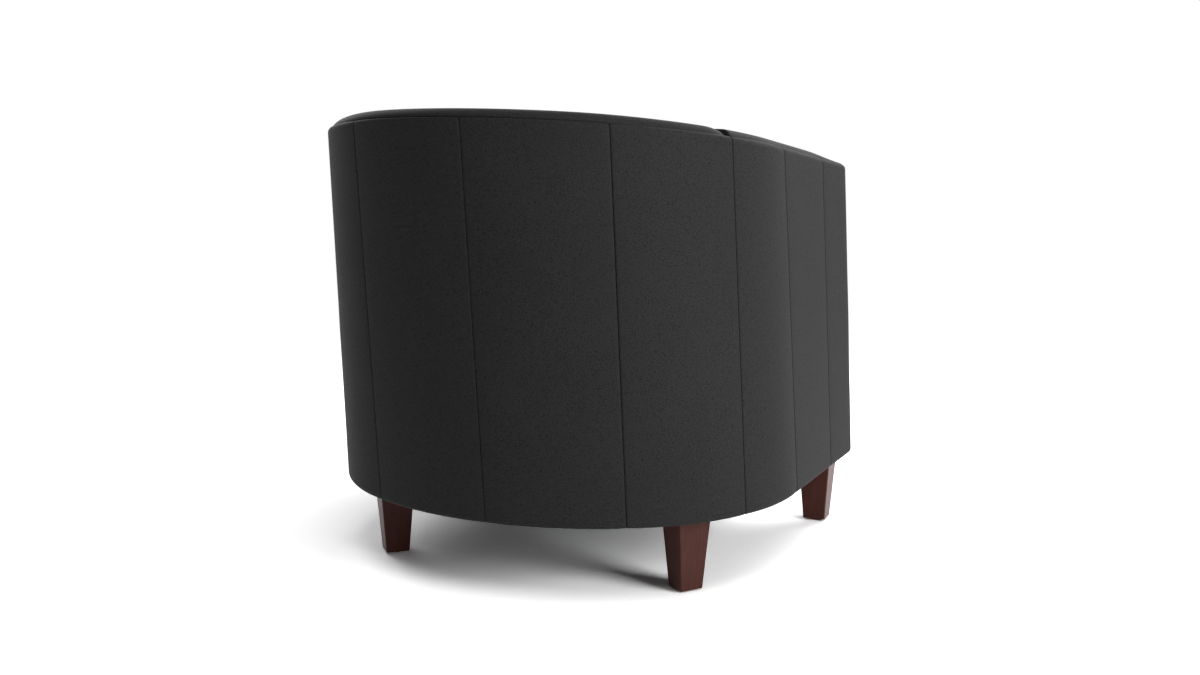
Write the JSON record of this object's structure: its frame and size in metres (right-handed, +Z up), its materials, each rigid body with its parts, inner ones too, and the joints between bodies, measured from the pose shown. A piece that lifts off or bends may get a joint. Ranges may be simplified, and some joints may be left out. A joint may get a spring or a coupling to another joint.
{
  "type": "barrel chair",
  "caption": "Upholstered barrel armchair: flared leather shell of seamed upright panels, padded sloping rim, loose seat cushion and tapered wood legs.",
  "frame": {"origin": "on the floor under the middle of the chair's bounding box", "axes": "+Z up, the sitter faces -Y, +X is the sitter's left"},
  "size_m": [0.7956, 0.728, 0.7188],
  "materials": {
    "black_leather": "satin black upholstery leather with a fine pebble grain",
    "lining_board": "raw fibreboard",
    "plywood": "raw plywood",
    "frame_timber": "raw sawn timber",
    "spring_steel": "oiled spring wire",
    "zinc_steel": "zinc plated",
    "deck_felt": "grey needled felt",
    "dust_fabric": "black nonwoven cloth",
    "stained_wood": "dark red-brown stain under satin lacquer",
    "glide_plastic": "black nylon"
  },
  "bodies": {
    "root": {"base_ring": "plywood", "corner_blocks": "frame_timber", "corner_screws": "zinc_steel", "dust_cover": "dust_fabric", "foot_glides": "glide_plastic", "front_border": "black_leather", "front_lining": "lining_board", "front_rail": "frame_timber", "inside_back_pad": "black_leather", "inside_lining": "lining_board", "left_arm_front_panel": "black_leather", "left_front_leg": "stained_wood", "left_front_post": "frame_timber", "left_inside_arm_pad": "black_leather", "left_outer_lining": "lining_board", "left_outer_panel_1": "black_leather", "left_outer_panel_2": "black_leather", "left_outer_panel_3": "black_leather", "left_outer_panel_4": "black_leather", "left_outer_panel_5": "black_leather", "left_rear_leg": "stained_wood", "left_rear_post": "frame_timber", "left_side_post": "frame_timber", "leg_bolts": "zinc_steel", "leg_nuts": "zinc_steel", "rear_lining": "lining_board", "right_arm_front_panel": "black_leather", "right_front_leg": "stained_wood", "right_front_post": "frame_timber", "right_inside_arm_pad": "black_leather", "right_outer_lining": "lining_board", "right_outer_panel_1": "black_leather", "right_outer_panel_2": "black_leather", "right_outer_panel_3": "black_leather", "right_outer_panel_4": "black_leather", "right_outer_panel_5": "black_leather", "right_rear_leg": "stained_wood", "right_rear_post": "frame_timber", "right_side_post": "frame_timber", "seat_cushion": "black_leather", "seat_deck": "deck_felt", "seat_ring": "plywood", "seat_springs": "spring_steel", "spring_clips": "zinc_steel", "top_rail": "plywood"}
  },
  "joints": []
}
